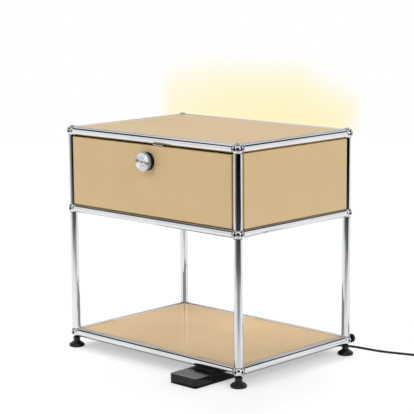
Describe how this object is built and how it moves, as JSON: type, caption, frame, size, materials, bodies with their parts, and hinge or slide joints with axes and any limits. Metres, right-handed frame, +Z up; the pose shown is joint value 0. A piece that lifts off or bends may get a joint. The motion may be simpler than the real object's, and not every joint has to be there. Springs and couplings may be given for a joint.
{
  "type": "nightstand",
  "caption": "Tube-and-ball frame nightstand with sheet panels, a lockable drop-down door over an open shelf, glides, a light tube at the back and a corded foot dimmer.",
  "frame": {"origin": "on the floor, under the middle of the cabinet's bounding box, without the cord, its foot dimmer and its plug", "axes": "+Z up, -Y towards the door's front, +X to the right seen from the front"},
  "size_m": [0.7864, 0.6224, 0.5052],
  "materials": {
    "balls_bottom": "mirror",
    "balls_middle": "mirror",
    "balls_top": "mirror",
    "tube_bottom_front": "mirror",
    "tube_bottom_back": "mirror",
    "tube_bottom_left": "mirror",
    "tube_bottom_right": "mirror",
    "tube_middle_front": "mirror",
    "tube_middle_back": "mirror",
    "tube_middle_left": "mirror",
    "tube_middle_right": "mirror",
    "tube_top_front": "mirror",
    "tube_top_back": "mirror",
    "tube_top_left": "mirror",
    "tube_top_right": "mirror",
    "post_lower_front_left": "mirror",
    "post_upper_front_left": "mirror",
    "post_lower_back_left": "mirror",
    "post_upper_back_left": "mirror",
    "post_lower_front_right": "mirror",
    "post_upper_front_right": "mirror",
    "post_lower_back_right": "mirror",
    "post_upper_back_right": "mirror",
    "tube_connectors": "satin",
    "panel_top": "satin powder coat",
    "panel_floor": "satin powder coat",
    "shelf": "satin powder coat",
    "panel_left": "satin powder coat",
    "panel_right": "satin powder coat",
    "panel_back": "satin powder coat",
    "door": "satin powder coat",
    "hinge_arm_left": "satin",
    "hinge_arm_right": "satin",
    "knob": "mirror",
    "lock_nut": "satin",
    "lock_cylinder": "mirror",
    "latch_cam": "satin",
    "keeper": "satin",
    "glide_front_left": "fine matt",
    "glide_back_left": "fine matt",
    "glide_front_right": "fine matt",
    "glide_back_right": "fine matt",
    "led_strip": "matt",
    "light_diffuser": "opal",
    "power_connector": "fine matt",
    "link_cord": "matt",
    "link_boot": "matt",
    "dimmer_base": "fine matt",
    "dimmer_housing": "fine matt",
    "dimmer_pedal": "fine matt",
    "dimmer_pin": "satin",
    "lead_boot": "matt",
    "lead": "matt",
    "lead_coil": "matt",
    "coil_tie": "fine matt",
    "lead_tail": "matt",
    "plug_boot": "matt",
    "plug_body": "fine matt",
    "plug_pins": "nickel plated"
  },
  "bodies": {
    "cabinet": {"balls_bottom": "balls_bottom", "balls_middle": "balls_middle", "balls_top": "balls_top", "tube_bottom_front": "tube_bottom_front", "tube_bottom_back": "tube_bottom_back", "tube_bottom_left": "tube_bottom_left", "tube_bottom_right": "tube_bottom_right", "tube_middle_front": "tube_middle_front", "tube_middle_back": "tube_middle_back", "tube_middle_left": "tube_middle_left", "tube_middle_right": "tube_middle_right", "tube_top_front": "tube_top_front", "tube_top_back": "tube_top_back", "tube_top_left": "tube_top_left", "tube_top_right": "tube_top_right", "post_lower_front_left": "post_lower_front_left", "post_upper_front_left": "post_upper_front_left", "post_lower_back_left": "post_lower_back_left", "post_upper_back_left": "post_upper_back_left", "post_lower_front_right": "post_lower_front_right", "post_upper_front_right": "post_upper_front_right", "post_lower_back_right": "post_lower_back_right", "post_upper_back_right": "post_upper_back_right", "tube_connectors": "tube_connectors", "panel_top": "panel_top", "panel_floor": "panel_floor", "shelf": "shelf", "panel_left": "panel_left", "panel_right": "panel_right", "panel_back": "panel_back", "hinge_arm_left": "hinge_arm_left", "hinge_arm_right": "hinge_arm_right", "keeper": "keeper", "led_strip": "led_strip", "light_diffuser": "light_diffuser", "power_connector": "power_connector", "link_cord": "link_cord", "link_boot": "link_boot", "dimmer_base": "dimmer_base", "dimmer_housing": "dimmer_housing", "dimmer_pin": "dimmer_pin", "lead_boot": "lead_boot", "lead": "lead", "lead_coil": "lead_coil", "coil_tie": "coil_tie", "lead_tail": "lead_tail", "plug_boot": "plug_boot", "plug_body": "plug_body", "plug_pins": "plug_pins"},
    "door": {"door": "door", "knob": "knob", "lock_nut": "lock_nut"},
    "lock": {"lock_cylinder": "lock_cylinder", "latch_cam": "latch_cam"},
    "pedal": {"dimmer_pedal": "dimmer_pedal"},
    "foot_front_left": {"glide_front_left": "glide_front_left"},
    "foot_back_left": {"glide_back_left": "glide_back_left"},
    "foot_front_right": {"glide_front_right": "glide_front_right"},
    "foot_back_right": {"glide_back_right": "glide_back_right"}
  },
  "joints": [
    {"name": "door_drop", "type": "hinge", "parent": "cabinet", "child": "door", "pos_m": [0, -0.17435, 0.335], "axis": [1, 0, 0], "range_deg": [0, 90]},
    {"name": "lock_turn", "type": "hinge", "parent": "door", "child": "lock", "pos_m": [0, -0.19715, 0.4475], "axis": [0, -1, 0], "range_deg": [0, 90]},
    {"name": "pedal_press", "type": "hinge", "parent": "cabinet", "child": "pedal", "pos_m": [0.1575, -0.18885, 0.011], "axis": [1, 0, 0], "range_deg": [0, 2], "stiffness_Nm_per_rad": 4, "springref_deg": -1.15},
    {"name": "foot_turn_front_left", "type": "hinge", "parent": "cabinet", "child": "foot_front_left", "pos_m": [-0.25, -0.17035, 0], "axis": [0, 0, 1], "continuous": true},
    {"name": "foot_turn_back_left", "type": "hinge", "parent": "cabinet", "child": "foot_back_left", "pos_m": [-0.25, 0.17965, 0], "axis": [0, 0, 1], "continuous": true},
    {"name": "foot_turn_front_right", "type": "hinge", "parent": "cabinet", "child": "foot_front_right", "pos_m": [0.25, -0.17035, 0], "axis": [0, 0, 1], "continuous": true},
    {"name": "foot_turn_back_right", "type": "hinge", "parent": "cabinet", "child": "foot_back_right", "pos_m": [0.25, 0.17965, 0], "axis": [0, 0, 1], "continuous": true}
  ]
}
